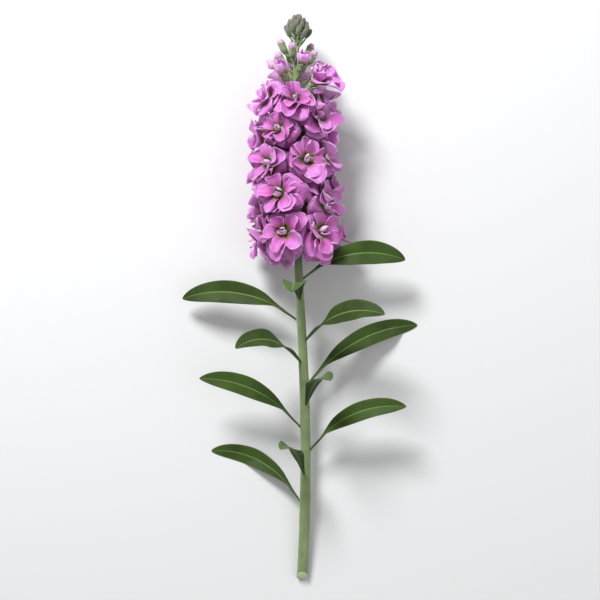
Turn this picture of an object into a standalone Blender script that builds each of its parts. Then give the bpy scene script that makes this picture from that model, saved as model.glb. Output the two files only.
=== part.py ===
"""A cut stem of double garden stock, lying on a table with its tip toward +Y.

The head is a raceme: florets stand on short stalks in a spiral round the stem, fully open at the
bottom, then half open, then buds that show colour, then a crown of tight green buds at the tip.
Long narrow leaves stand out below the head. Lengths are in metres, +Z is up, and azimuths round
the stem are in degrees, 0 facing up and positive toward +X.
"""

import random
from collections import namedtuple
from math import cos, exp, pi, radians, sin

import bmesh
import bpy
from mathutils import Vector

MM = 0.001

# Stem
STEM_LENGTH = 404 * MM
CUT_RADIUS = 4.0 * MM
TIP_RADIUS = 1.7 * MM
STEM_TOP = 375 * MM
STEM_TAPER = 1.3
CUT_SLANT = 0.9
STEM_RINGS = 14

# How the stem lies: straight up from its cut end, then level under the head
HEAD_HEIGHT = 29 * MM
BEND_STARTS = 170 * MM
BEND_ENDS = 290 * MM
SWAY = 3.0 * MM

# Where the origin is: on the table, under the middle of the whole stem
ORIGIN_X = -1.6 * MM
ORIGIN_Y = 201.9 * MM

# Open florets
FLORETS = 24
HEAD_BOTTOM = 249 * MM
HEAD_TOP = 340 * MM
FLORET_REACH = 18.5 * MM
FLORET_RADIUS = 18 * MM
GOLDEN_ANGLE = 137.508
# Height above the cut end and azimuth of the florets on the side that lies uppermost
FACING = (
    (250 * MM, -22),
    (270 * MM, 64),
    (276 * MM, -28),
    (298 * MM, 22),
    (319 * MM, -31),
    (328 * MM, 54),
    (339 * MM, 2),
)
# Azimuths that the other florets start between, before they spread out round the rest of the stem
OTHER_AZIMUTHS = (100, 260)
GOLDEN_SHARE = 0.618
# How far florets crowd one another, how much they move at a time, how often, and the nearest that counts
CROWD_REACH = 15 * MM
CROWD_STEP = 0.6 * MM
CROWD_ROUNDS = 400
CROWD_NEAREST = 3 * MM
# Share of the full reach, tilt toward the tip, size and openness of the lowest and of the highest open floret
FLORET_REACHES = (1.0, 0.86)
FLORET_TILT = (6, 30)
FLORET_SIZE = (1.0, 0.88)
FLORET_OPENING = (1.0, 0.82)
# Where a bloom's heart is, above its calyx, as a share of the radius of a floret
HEART = 0.22

# Florets and buds above the open ones, on one spiral that crowds together and draws in toward the tip
UPPER_FROM = 352 * MM
UPPER_TO = 381 * MM
UPPER_CROWDING = 0.8
UPPER_AZIMUTH = 50
UPPER_REACH = (15.5 * MM, 10.5 * MM)
UPPER_DRAWING_IN = 0.7
UPPER_TILT = (42, 66)
UPPER_SIZE = {"half_open": (1.0, 0.92), "opening": (0.6, 0.44), "pink": (0.36, 0.29)}
HALF_OPEN = 2
OPENING_BUDS = 4
PINK_BUDS = 7

# The crown of green buds
CROWN_BUDS = 31
CROWN_RADIUS = 10.4 * MM
# From its edge to its middle: the heights its buds spring from, those of their tips, their length and width
CROWN_ROOTS = (377 * MM, 394 * MM)
CROWN_TIPS = (392 * MM, 403.4 * MM)
CROWN_LENGTH = (7.6 * MM, 5.6 * MM)
CROWN_WIDTH = (4.0 * MM, 3.4 * MM)
# How far its outermost buds lean away from the stem
CROWN_LEAN = 30
# Shares of a bud's length and of its half width, from its foot to its tip
CROWN_BUD = ((0.0, 0.42), (0.5, 1.0), (1.0, 0.45))
CROWN_STALK = 0.7 * MM
# Radius of the stem inside the crown: at its foot, where the buds begin and where they end
CROWN_STEM = (TIP_RADIUS, 1.1 * TIP_RADIUS, 0.9 * TIP_RADIUS)

# Stalks, how much wider they are at the stem, and how far below its bloom each springs per length of reach
STALK_RADIUS = 0.9 * MM
STALK_FOOT = 1.2
STALK_DROP = 0.85
# Length and radius of the calyx that a stalk ends in
CALYX = {
    "open": (8.5 * MM, 2.2 * MM),
    "half_open": (8.5 * MM, 2.4 * MM),
    "opening": (6.0 * MM, 2.4 * MM),
    "pink": (6.2 * MM, 2.2 * MM),
}
# Where along its length a calyx is widest, and the share of its radius that its mouth has
CALYX_WIDEST = 0.35
CALYX_MOUTH = 0.9

# The coloured tip of a bud, as shares of the bloom's full width
BUD_LENGTH = 0.45
BUD_WIDTH = 0.42
# How much wider it is toward its top, and along its petals than at their seams
BUD_SWELL = 0.12
BUD_LOBES = 0.1
BUD_PETALS = 4

# Petals: where they are broadest, how much they narrow to there and at the tip, and how round the tip is
PETAL_BROADEST = 0.6
PETAL_NARROWING = 0.06
PETAL_TIP = 0.82
PETAL_ROUNDING = 0.14
# Range of a petal's length about its ring's, the notches that its tip may have, and where its fold is full
PETAL_LENGTHS = (0.9, 1.08)
PETAL_NOTCHES = (0.0, 0.04, 0.08)
PETAL_FOLDED = 0.4
# Three rows of points, from root to tip
PETAL_ROWS = (0, PETAL_BROADEST, 1)
PETAL_THICKNESS = 0.6 * MM
PIECE_GAP = 0.34 * MM
SEAT_GAP = 0.3 * MM
# Share of the way to a wall where a petal starts to bend
SOFT = 0.72
# How firmly the florets underneath are flattened on the table
TABLE_PRESS = 1.1
# How far apart two blooms are at most that still press on each other
PRESS_REACH = 2.6 * FLORET_RADIUS

# Leaves, lowest to highest and closer together toward the head
LEAVES = 11
LEAF_THICKNESS = 0.8 * MM
LEAF_HEIGHT = (58 * MM, 217 * MM)
LEAF_CROWDING = 0.9
LEAF_LENGTH = (78 * MM, 92 * MM)
LEAF_WIDTH = (13 * MM, 17 * MM)
LEAF_ANGLE = (30, 50)
LEAF_BOW = (48, 72)
LEAF_SAG = (8 * MM, 16 * MM)
# Azimuth that the spiral of leaves starts from, and the azimuth that they keep within on each side
LEAF_AZIMUTH = 15
LEAF_SPREAD = 112
# How much shorter the leaves that stand up are, and how far the ones at the side turn to lie flatter
LEAF_SHORTER = 0.24
LEAF_TURN = 0.85
# Where a leaf is broadest, and its width at the foot and at the tip as shares of the full width
LEAF_BROADEST = 0.6
LEAF_FOOT = 0.22
LEAF_TIP = 0.24
# How soon a leaf narrows to its tip, and where it has turned to lie flatter
LEAF_TAPER = 2.4
LEAF_TURNED = 0.5
# How much a leaf is folded along its rib, and how much and how often its margin waves
LEAF_FOLD = 0.24
LEAF_RIPPLE = 0.09
LEAF_WAVES = 9
LEAF_ROWS = 8

Bloom = namedtuple("Bloom", "name kind height azimuth reach tilt size opening")
# rise_root and rise_tip are a petal's slope at its ends, root and base the radius and height where it joins
# curl is how much of the length lost at a wall turns outward or, below 0, back
Ring = namedtuple("Ring", "petals length rise_root rise_tip root base cup roll curl")

# Rings of petals, outermost first, for a floret 36 mm across; lengths in mm, slopes in degrees
RINGS = {
    "open": (
        Ring(5, 25.0, 30, -48, 1.7, 1.2, 0.0, 0.2, -0.35),
        Ring(5, 17.5, 48, 4, 1.6, 2.3, 0.04, 0.22, 0.4),
    ),
    "half_open": (
        Ring(5, 21.5, 60, 12, 1.9, 1.4, 0.1, 0.3, 0.4),
        Ring(4, 13.5, 80, 72, 1.7, 2.8, 0.14, 0.3, 0.4),
    ),
    "opening": (Ring(4, 19.0, 45, 115, 3.6, 2.0, 0.1, 0.3, 0.4),),
}
# How much petals of open florets differ in their slope at each end, in degrees, in roll and in fold
WILD = (7, 20, 0.4, 0.22)
# The same for florets that are still opening
TAME = (3, 8, 0.05, 0.03)
# Height and radius in mm of the solid middle that each bloom's petals stand on
MIDDLES = {
    "open": ((0, 1.5), (3.0, 1.1), (5.0, 2.2), (7.6, 1.6)),
    "half_open": ((0, 1.6), (1.4, 1.4), (2.8, 1.2), (9.0, 2.0), (12.0, 1.2)),
    "opening": ((0, 3.2), (2.0, 2.8), (11.0, 3.6), (15.0, 1.8)),
}
# How much an open floret's petals rise where the head narrows
CLOSING = (35, 55)

COLOURS = {
    "petal": ((0.60, 0.22, 0.58, 1), 0.55),
    "stem": ((0.25, 0.38, 0.15, 1), 0.6),
    "leaf": ((0.09, 0.20, 0.06, 1), 0.6),
    "green_bud": ((0.16, 0.25, 0.13, 1), 0.7),
}


def clear_scene():
    for old in list(bpy.data.objects):
        bpy.data.objects.remove(old)


def material(name):
    """The finish of that name, made once."""
    made = bpy.data.materials.get(name)
    if made is None:
        colour, roughness = COLOURS[name]
        made = bpy.data.materials.new(name)
        made.use_nodes = True
        shader = made.node_tree.nodes["Principled BSDF"]
        shader.inputs["Base Color"].default_value = colour
        shader.inputs["Roughness"].default_value = roughness
        shader.inputs["Metallic"].default_value = 0.0
    return made


def smooth(t):
    t = min(max(t, 0.0), 1.0)
    return t * t * (3 - 2 * t)


def mix(a, b, t):
    return a + (b - a) * t


# The stem's centre line


def axis_point(y):
    """A point on the stem's centre line, y metres from the cut end."""
    rise = HEAD_HEIGHT - CUT_RADIUS
    slope = rise / (0.5 * (BEND_STARTS + BEND_ENDS))
    past = min(max(y - BEND_STARTS, 0.0), BEND_ENDS - BEND_STARTS)
    level = min(y, BEND_ENDS)
    z = CUT_RADIUS + slope * level - slope * past * past / (2 * (BEND_ENDS - BEND_STARTS))
    x = SWAY * sin(2 * pi * y / STEM_LENGTH) - SWAY * y / STEM_LENGTH
    return Vector((x - ORIGIN_X, y - ORIGIN_Y, z))


def stem_frame(y):
    """The stem's direction at y, and the sideways and upward directions across it."""
    step = 0.5 * MM
    along = (axis_point(y + step) - axis_point(y - step)).normalized()
    side = (Vector((1, 0, 0)) - along * along.x).normalized()
    return along, side, side.cross(along)


def outward(y, azimuth):
    along, side, up = stem_frame(y)
    return up * cos(radians(azimuth)) + side * sin(radians(azimuth))


def stem_radius(y):
    return mix(CUT_RADIUS, TIP_RADIUS, (y / STEM_LENGTH) ** STEM_TAPER)


# Where the florets and buds are


def floret_places():
    """Height and azimuth of each open floret: the uppermost stay put, and the rest crowd evenly round."""
    free = FLORETS - len(FACING)
    places = [[height, radians(azimuth)] for height, azimuth in FACING]
    for k in range(free):
        height = mix(HEAD_BOTTOM, HEAD_TOP, (k + 0.5) / free)
        places.append([height, radians(mix(*OTHER_AZIMUTHS, (k * GOLDEN_SHARE) % 1.0))])
    for _ in range(CROWD_ROUNDS):
        pushes = []
        for i in range(len(FACING), FLORETS):
            push_y = push_a = 0.0
            for j in range(FLORETS):
                if i == j:
                    continue
                apart_y = places[i][0] - places[j][0]
                turn = (places[i][1] - places[j][1] + pi) % (2 * pi) - pi
                apart_a = turn * FLORET_REACH
                near = max((apart_y**2 + apart_a**2) ** 0.5, CROWD_NEAREST)
                weight = exp(-0.5 * (near / CROWD_REACH) ** 2) / near
                push_y += apart_y * weight
                push_a += apart_a * weight
            pushes.append((push_y, push_a))
        for i, (push_y, push_a) in enumerate(pushes, len(FACING)):
            height = places[i][0] + CROWD_STEP * push_y
            places[i][0] = min(max(height, HEAD_BOTTOM), HEAD_TOP)
            places[i][1] += CROWD_STEP * push_a / FLORET_REACH
    return sorted((height, azimuth * 180 / pi) for height, azimuth in places)


def open_florets():
    blooms = []
    for number, (height, azimuth) in enumerate(floret_places(), 1):
        up = (height - HEAD_BOTTOM) / (HEAD_TOP - HEAD_BOTTOM)
        blooms.append(
            Bloom(
                f"floret_{number:02d}",
                "open",
                height,
                azimuth,
                FLORET_REACH * mix(*FLORET_REACHES, up * up),
                mix(*FLORET_TILT, up * up),
                mix(*FLORET_SIZE, up * up),
                mix(*FLORET_OPENING, up * up),
            )
        )
    return blooms


def upper_blooms():
    """The half-open florets, opening buds and pink-tipped buds, closer together toward the tip."""
    kinds = ["half_open"] * HALF_OPEN + ["opening"] * OPENING_BUDS + ["pink"] * PINK_BUDS
    names = {"half_open": "half_open_floret", "opening": "opening_bud", "pink": "pink_bud"}
    counts = dict.fromkeys(names, 0)
    blooms = []
    for k, kind in enumerate(kinds):
        counts[kind] += 1
        up = k / (len(kinds) - 1)
        blooms.append(
            Bloom(
                f"{names[kind]}_{counts[kind]}",
                kind,
                mix(UPPER_FROM, UPPER_TO, up**UPPER_CROWDING),
                UPPER_AZIMUTH + k * GOLDEN_ANGLE,
                mix(*UPPER_REACH, up**UPPER_DRAWING_IN),
                mix(*UPPER_TILT, up),
                mix(*UPPER_SIZE[kind], up),
                0,
            )
        )
    return blooms


def bloom_frame(bloom):
    """The calyx mouth, the direction that the bloom faces, and two directions across it."""
    along, _, _ = stem_frame(bloom.height)
    out = outward(bloom.height, bloom.azimuth)
    face = out * cos(radians(bloom.tilt)) + along * sin(radians(bloom.tilt))
    mouth = axis_point(bloom.height) + out * bloom.reach
    first = (along - face * along.dot(face)).normalized()
    return mouth, face, first, face.cross(first)


# Room for each bloom: the space nearer to it than to its neighbours, and above the table


def heart_of(bloom):
    mouth, face, _, _ = bloom_frame(bloom)
    return mouth + face * FLORET_RADIUS * HEART * bloom.size


def walls_round(index, blooms):
    """Planes that bound a bloom's room, each as a direction away from its heart and a distance."""
    heart = heart_of(blooms[index])
    walls = [(Vector((0, 0, -1)), TABLE_PRESS * heart.z)]
    for other, bloom in enumerate(blooms):
        apart = heart_of(bloom) - heart
        if other != index and apart.length < PRESS_REACH:
            share = blooms[index].size / (blooms[index].size + bloom.size)
            room = apart.length * share - 0.5 * (PETAL_THICKNESS + PIECE_GAP)
            walls.append((apart.normalized(), room))
    return heart, walls


def drawn_in(point, heart, walls):
    """A point drawn toward the heart along its own ray, so that it stays inside the walls."""
    ray = point - heart
    crossing = max(ray.dot(away) / room for away, room in walls)
    if crossing <= SOFT:
        return point
    held = SOFT + (1 - SOFT) * (1 - exp(-(crossing - SOFT) / (1 - SOFT)))
    return heart + ray * (held / crossing)


def squeezed(point, heart, walls, turned):
    """A petal's point pressed back by the neighbouring blooms and the table, the length lost turned aside."""
    pressed = drawn_in(point, heart, walls)
    pressed = pressed + turned * (point - pressed).length
    held = drawn_in(pressed, heart, walls)
    held.z = max(held.z, 0.5 * PETAL_THICKNESS)
    return held


# Petals


def petal_local(ring, petal, s, t):
    """Distance out, angle aside and height of a petal's point: s from root to tip, t from -1 to 1 across."""
    past = max(s - PETAL_BROADEST, 0) / (1 - PETAL_BROADEST)
    rounding = (PETAL_ROUNDING * t * t + petal["notch"] * (1 - abs(t))) * past
    start = radians(petal["rise_root"])
    turn = radians(petal["rise_tip"]) - start
    angle = start + turn * (s - rounding)
    out = ring.root * MM * petal["size"] + petal["length"] * (sin(angle) - sin(start)) / turn
    height = petal["length"] * (cos(start) - cos(angle)) / turn
    aside = t * pi / ring.petals * mix(1 - PETAL_NARROWING * s, PETAL_TIP, smooth(past))
    lean = out * sin(aside) * petal["roll"] * min(s / PETAL_BROADEST, 1) + ring.cup * out * t * t * s
    lean += out * petal["fold"] * abs(t) * smooth(s / PETAL_FOLDED)
    return out - lean * sin(angle), aside, height + lean * cos(angle)


def petals_of(bloom, number, ring, draw):
    """The lengths, slopes, rolls and folds of one ring's petals, each a little different."""
    shut = (1 - bloom.opening) * CLOSING[number] if bloom.kind == "open" else 0
    root, tip, roll, fold = WILD if bloom.kind == "open" else TAME
    return [
        {
            "size": bloom.size,
            "length": ring.length * bloom.size * MM * draw.uniform(*PETAL_LENGTHS),
            "rise_root": ring.rise_root + shut + root * draw.uniform(-1, 1),
            "rise_tip": ring.rise_tip + shut + tip * draw.uniform(-1, 1),
            "roll": ring.roll + roll * draw.uniform(-1, 1),
            "fold": fold * draw.uniform(0, 1),
            "notch": draw.choice(PETAL_NOTCHES),
        }
        for _ in range(ring.petals)
    ]


# Meshes


def baked(made):
    """The object as its modifiers leave it, as a plain mesh object that replaces it."""
    bpy.context.view_layer.update()
    graph = bpy.context.evaluated_depsgraph_get()
    mesh = bpy.data.meshes.new_from_object(made.evaluated_get(graph))
    plain = bpy.data.objects.new(made.name, mesh)
    plain.matrix_world = made.matrix_world.copy()
    bpy.data.objects.remove(made)
    return plain


def welded(made):
    """A curve's tube as a closed mesh, with its caps joined to its sides."""
    plain = baked(made)
    work = bmesh.new()
    work.from_mesh(plain.data)
    bmesh.ops.remove_doubles(work, verts=work.verts, dist=0.01 * MM)
    work.to_mesh(plain.data)
    work.free()
    return plain


def one_body(mesh):
    """Keep the largest body of a mesh: its sealed hollows are filled and loose scraps dropped."""
    work = bmesh.new()
    work.from_mesh(mesh)
    work.verts.ensure_lookup_table()
    seen = set()
    bodies = []
    for seed in work.verts:
        if seed in seen:
            continue
        seen.add(seed)
        body = [seed]
        for vert in body:
            for edge in vert.link_edges:
                beyond = edge.other_vert(vert)
                if beyond not in seen:
                    seen.add(beyond)
                    body.append(beyond)
        bodies.append(body)
    bodies.sort(key=len)
    bmesh.ops.delete(work, geom=[vert for body in bodies[:-1] for vert in body], context="VERTS")
    work.to_mesh(mesh)
    work.free()


def linked(made, collection):
    collection.objects.link(made)
    return made


def thickened(work, name, thickness):
    """A closed solid of even thickness from the sheet in work, cut into triangles alike on both faces."""
    bmesh.ops.triangulate(work, faces=work.faces, quad_method="SHORT_EDGE")
    mesh = bpy.data.meshes.new(name)
    work.to_mesh(mesh)
    work.free()
    made = linked(bpy.data.objects.new(name, mesh), scratch)
    wall = made.modifiers.new("Thickness", "SOLIDIFY")
    wall.thickness = thickness
    wall.offset = 0
    return linked(baked(made), scratch)


def blade(name, rows, columns, place, thickness):
    """A thin closed blade: a grid of rows by columns whose points place(s, t) sets, given thickness."""
    work = bmesh.new()
    bmesh.ops.create_grid(work, x_segments=columns, y_segments=rows, size=1)
    for vert in work.verts:
        vert.co = place((vert.co.y + 1) / 2, vert.co.x)
    return thickened(work, name, thickness)


def tube(name, points, radii, sides_step=1):
    """A tube through the points, with a radius at each."""
    curve = bpy.data.curves.new(name, "CURVE")
    curve.dimensions = "3D"
    curve.bevel_depth = 1.0
    curve.bevel_resolution = sides_step
    curve.use_fill_caps = True
    spline = curve.splines.new("POLY")
    spline.points.add(len(points) - 1)
    for knot, point, radius in zip(spline.points, points, radii):
        knot.co = (*point, 1)
        knot.radius = radius
    made = linked(bpy.data.objects.new(name, curve), scratch)
    return linked(welded(made), scratch)


def bud_tip(name, base, axis, length, width):
    """The tip of a bud standing on base along axis: a lobe for each petal, and fullest toward its top."""
    work = bmesh.new()
    bmesh.ops.create_uvsphere(work, u_segments=2 * BUD_PETALS, v_segments=5, radius=1)
    across = axis.orthogonal().normalized()
    other = axis.cross(across)
    for vert in work.verts:
        up = (vert.co.z + 1) / 2
        around = vert.co.to_2d().angle_signed(Vector((1, 0)), 0.0)
        wide = 0.5 * width * (1 + BUD_SWELL * (2 * up - 1)) * (1 + BUD_LOBES * cos(BUD_PETALS * around))
        vert.co = base + axis * length * up + (across * vert.co.x + other * vert.co.y) * wide
    bmesh.ops.triangulate(work, faces=work.faces)
    mesh = bpy.data.meshes.new(name)
    work.to_mesh(mesh)
    work.free()
    return linked(bpy.data.objects.new(name, mesh), scratch)


def fused(name, base, pieces, finish):
    """One solid of the base and the pieces that are sunk into it, with its finish."""
    if pieces:
        joined = bpy.data.collections.new(name + "_pieces")
        for piece in pieces:
            scratch.objects.unlink(piece)
            joined.objects.link(piece)
        union = base.modifiers.new("Union", "BOOLEAN")
        union.operation = "UNION"
        union.operand_type = "COLLECTION"
        union.collection = joined
        union.solver = "MANIFOLD"
        bpy.context.scene.collection.children.link(joined)
        made = baked(base)
        for piece in list(joined.objects):
            bpy.data.objects.remove(piece)
        bpy.data.collections.remove(joined)
    else:
        made = baked(base)
    one_body(made.data)
    made.name = name
    made.data.materials.clear()
    made.data.materials.append(material(finish))
    made.data.shade_smooth()
    made.data.set_sharp_from_angle(angle=radians(40))
    return linked(made, flower)


# The pieces


def stalk_parts(bloom):
    """The points and radii of a bloom's stalk and the calyx that it ends in."""
    mouth, face, _, _ = bloom_frame(bloom)
    length, radius = CALYX[bloom.kind]
    start = axis_point(bloom.height - STALK_DROP * bloom.reach)
    neck = mouth - face * length
    points = [start, neck, neck + face * length * CALYX_WIDEST, mouth]
    return points, [STALK_RADIUS * STALK_FOOT, STALK_RADIUS, radius, radius * CALYX_MOUTH]


def make_stem(blooms):
    """The main stem, cut on the slant at its foot, with the stalk and calyx of every bloom."""
    heights = [STEM_TOP * k / (STEM_RINGS - 1) for k in range(STEM_RINGS)]
    points = [axis_point(height) for height in heights]
    trunk = tube("trunk", points, [stem_radius(height) for height in heights], 3)
    work = bmesh.new()
    work.from_mesh(trunk.data)
    slanted = Vector((0, -1, CUT_SLANT)).normalized()
    lip = axis_point(0) + Vector((0, 0.2 * MM, -CUT_RADIUS))
    everything = work.verts[:] + work.edges[:] + work.faces[:]
    cut = bmesh.ops.bisect_plane(
        work, geom=everything, plane_co=lip, plane_no=slanted, clear_outer=True, dist=0.001 * MM
    )
    rim = [edge for edge in cut["geom_cut"] if isinstance(edge, bmesh.types.BMEdge)]
    bmesh.ops.holes_fill(work, edges=rim)
    work.to_mesh(trunk.data)
    work.free()
    stalks = [tube("stalk", *stalk_parts(bloom)) for bloom in blooms]
    return fused("stem", trunk, stalks, "stem")


def petal_ring(ring, petals, base, axes, fit):
    """A ring of petals that join at the middle, each lapping over the next at the side."""
    face, first, second = axes
    step = pi / ring.petals
    work = bmesh.new()
    bmesh.ops.create_circle(work, cap_ends=True, segments=2 * ring.petals, radius=1)
    for vert in work.verts:
        vert.co = base + (first * vert.co.y + second * vert.co.x) * ring.root * MM * petals[0]["size"]
    for k, petal in enumerate(petals):
        made = bmesh.ops.create_grid(work, x_segments=2, y_segments=2, size=1)
        for vert in made["verts"]:
            row = round(vert.co.y) + 1
            r, aside, height = petal_local(ring, petal, PETAL_ROWS[row], vert.co.x)
            turn = 2 * k * step + aside
            vert.co = base + (first * cos(turn) + second * sin(turn)) * r + face * height
            if row:
                vert.co = fit(vert.co)
    bmesh.ops.remove_doubles(work, verts=work.verts, dist=0.01 * MM)
    bmesh.ops.recalc_face_normals(work, faces=work.faces)
    return thickened(work, "petals", PETAL_THICKNESS)


def make_floret(index, blooms):
    """One floret: rings of petals on a short solid middle that stands on the calyx."""
    bloom = blooms[index]
    draw = random.Random(100 + index)
    mouth, face, first, second = bloom_frame(bloom)
    heart, walls = walls_round(index, blooms)
    foot = mouth + face * SEAT_GAP
    profile = MIDDLES[bloom.kind]
    middle = tube(
        "middle",
        [foot + face * up * MM * bloom.size for up, _ in profile],
        [radius * MM * bloom.size for _, radius in profile],
    )
    start = draw.uniform(0, 2 * pi)
    rings = []
    for number, ring in enumerate(RINGS[bloom.kind]):
        turn = start + number * pi / ring.petals
        ahead = first * cos(turn) + second * sin(turn)
        aside = second * cos(turn) - first * sin(turn)
        petals = petals_of(bloom, number, ring, draw)
        base = foot + face * ring.base * MM * bloom.size
        turned = face * ring.curl

        def fit(point):
            return squeezed(point, heart, walls, turned)

        rings.append(petal_ring(ring, petals, base, (face, ahead, aside), fit))
    return fused(bloom.name, middle, rings, "petal")


def make_coloured_bud(index, blooms):
    """The petals that show above the calyx of a bud, rolled together in lobes."""
    bloom = blooms[index]
    mouth, face, _, _ = bloom_frame(bloom)
    size = 2 * FLORET_RADIUS * bloom.size
    bud = bud_tip("bud", mouth + face * SEAT_GAP, face, BUD_LENGTH * size, BUD_WIDTH * size)
    return fused(bloom.name, bud, [], "petal")


def crown_bud(number):
    """Where a crown bud springs from, its foot, direction, length and width; the outermost comes first."""
    up = number / (CROWN_BUDS - 1)
    azimuth = UPPER_AZIMUTH + (HALF_OPEN + OPENING_BUDS + PINK_BUDS + number) * GOLDEN_ANGLE
    edge = (1 - up) ** 0.5
    tip_height = mix(CROWN_TIPS[1], CROWN_TIPS[0], edge * edge)
    along, _, _ = stem_frame(tip_height)
    out = outward(tip_height, azimuth)
    lean = radians(CROWN_LEAN * edge)
    axis = along * cos(lean) + out * sin(lean)
    length = mix(*CROWN_LENGTH, up)
    foot = axis_point(tip_height) + out * CROWN_RADIUS * edge - axis * length
    return axis_point(mix(*CROWN_ROOTS, up)), foot, axis, length, mix(*CROWN_WIDTH, up)


def make_crown():
    """The tight green buds at the tip, each on its own short stalk, crowded on the end of the stem."""
    core = tube(
        "core",
        [axis_point(STEM_TOP + SEAT_GAP), axis_point(CROWN_ROOTS[0]), axis_point(CROWN_ROOTS[1])],
        CROWN_STEM,
    )
    buds = []
    for k in range(CROWN_BUDS):
        root, foot, axis, length, width = crown_bud(k)
        points = [root] + [foot + axis * length * share for share, _ in CROWN_BUD]
        radii = [CROWN_STALK] + [0.5 * width * share for _, share in CROWN_BUD]
        buds.append(tube("bud", points, radii))
    return fused("bud_crown", core, buds, "green_bud")


def leaf_place(number):
    """Height, azimuth, length, width and angle of a leaf, kept off the side that the stem lies on."""
    up = number / (LEAVES - 1)
    height = mix(*LEAF_HEIGHT, up**LEAF_CROWDING)
    spiral = (LEAF_AZIMUTH + number * GOLDEN_ANGLE) % 360 - 180
    azimuth = spiral * LEAF_SPREAD / 180
    facing = cos(radians(azimuth)) ** 2
    length = mix(*LEAF_LENGTH, sin(pi * up)) * (1 - LEAF_SHORTER * facing)
    return height, azimuth, length, mix(*LEAF_WIDTH, up), mix(*LEAF_ANGLE, up)


def make_leaf(number):
    """One long blade, narrow at its foot, folded along its rib, bent back and turned to lie flatter."""
    height, azimuth, length, width, start_angle = leaf_place(number)
    along, _, _ = stem_frame(height)
    out = outward(height, azimuth)
    draw = random.Random(500 + number)
    bow = draw.uniform(*LEAF_BOW)
    sag = draw.uniform(*LEAF_SAG)
    turned = LEAF_TURN * abs(sin(radians(azimuth)))
    ripple = draw.uniform(0, 2 * pi)
    foot = axis_point(height) + out * (stem_radius(height) + SEAT_GAP + 0.5 * LEAF_THICKNESS)

    def place(s, t):
        start, turn = radians(start_angle), radians(bow)
        angle = start + turn * s
        centre = foot + along * length * (sin(angle) - sin(start)) / turn
        centre = centre + out * length * (cos(start) - cos(angle)) / turn
        ahead = along * cos(angle) + out * sin(angle)
        upward = Vector((0, 0, 1)) - ahead * ahead.z
        inner = along * sin(angle) - out * cos(angle)
        normal = inner.lerp(upward.normalized(), turned * smooth(s / LEAF_TURNED)).normalized()
        across = ahead.cross(normal)
        past = max(s - LEAF_BROADEST, 0) / (1 - LEAF_BROADEST)
        wide = 0.5 * width * mix(LEAF_FOOT, 1, smooth(s / LEAF_BROADEST)) * mix(1, LEAF_TIP, past**LEAF_TAPER)
        lift = LEAF_FOLD * wide * abs(t) + LEAF_RIPPLE * wide * t * sin(LEAF_WAVES * s + ripple)
        point = centre + across * wide * t + normal * lift - Vector((0, 0, sag * s * s))
        point.z = max(point.z, 0.5 * LEAF_THICKNESS)
        return point

    solid = blade("blade", LEAF_ROWS, 2, place, LEAF_THICKNESS)
    return fused(f"leaf_{number + 1:02d}", solid, [], "leaf")


clear_scene()
flower = bpy.data.collections.new("stock_flower_stem")
scratch = bpy.data.collections.new("being_made")
for group in (flower, scratch):
    bpy.context.scene.collection.children.link(group)

all_blooms = open_florets() + upper_blooms()
make_stem(all_blooms)
for order, each in enumerate(all_blooms):
    if each.kind in RINGS:
        make_floret(order, all_blooms)
    else:
        make_coloured_bud(order, all_blooms)
make_crown()
for leaf in range(LEAVES):
    make_leaf(leaf)
bpy.data.collections.remove(scratch)
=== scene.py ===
"""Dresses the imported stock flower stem: whorled petals, sepals, buds, leaves and the main stem.

The places of the florets, buds and leaves follow the rules of the CAD source. Lengths are in metres,
but in mm in the tables of rings and middles. Azimuths round the stem are in degrees, 0 facing up.
"""

import random
from collections import namedtuple
from math import cos, exp, pi, radians, sin

import bpy
import numpy as np
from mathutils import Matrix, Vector


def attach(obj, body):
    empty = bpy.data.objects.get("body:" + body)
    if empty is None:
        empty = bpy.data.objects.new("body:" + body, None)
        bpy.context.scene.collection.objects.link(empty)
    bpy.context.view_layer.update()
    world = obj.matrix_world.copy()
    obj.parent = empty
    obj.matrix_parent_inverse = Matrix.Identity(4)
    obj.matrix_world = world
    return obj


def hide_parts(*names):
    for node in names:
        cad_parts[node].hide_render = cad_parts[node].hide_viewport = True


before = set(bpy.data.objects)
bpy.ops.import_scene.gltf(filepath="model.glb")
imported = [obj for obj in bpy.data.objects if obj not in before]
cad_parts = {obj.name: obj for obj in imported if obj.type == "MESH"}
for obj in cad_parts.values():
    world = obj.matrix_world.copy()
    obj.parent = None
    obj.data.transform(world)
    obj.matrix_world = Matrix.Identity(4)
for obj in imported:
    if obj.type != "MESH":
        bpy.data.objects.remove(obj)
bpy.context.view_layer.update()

MM = 0.001

# Stem and how it lies, as in the CAD source
STEM_LENGTH = 404 * MM
CUT_RADIUS = 4.0 * MM
TIP_RADIUS = 1.7 * MM
STEM_TOP = 375 * MM
STEM_TAPER = 1.3
CUT_SLANT = 0.9
HEAD_HEIGHT = 29 * MM
BEND_STARTS = 170 * MM
BEND_ENDS = 290 * MM
SWAY = 3.0 * MM
ORIGIN_X = -1.6 * MM
ORIGIN_Y = 201.9 * MM
# Only here: how far it runs on into the crown, and over how many rings its slanted cut dies away
STEM_RUNS_ON = 1.012
CUT_RINGS = 12
# How far the stem and the middle of each petal stay above the table
TABLE_GAP = 0.2 * MM
# Scars of fallen leaves: how many, the height of the lowest, the step to the next, where they start
SCARS = 3
SCAR_FROM = 30 * MM
SCAR_STEP = 15.5 * MM
SCAR_TURN = 70
# Height and share of the radius of the swelling at a scar or leaf
KNOT_HEIGHT = 3.2 * MM
KNOT = 0.10

# Open florets
FLORETS = 24
HEAD_BOTTOM = 249 * MM
HEAD_TOP = 340 * MM
FLORET_REACH = 18.5 * MM
FLORET_RADIUS = 18 * MM
GOLDEN_ANGLE = 137.508
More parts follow.
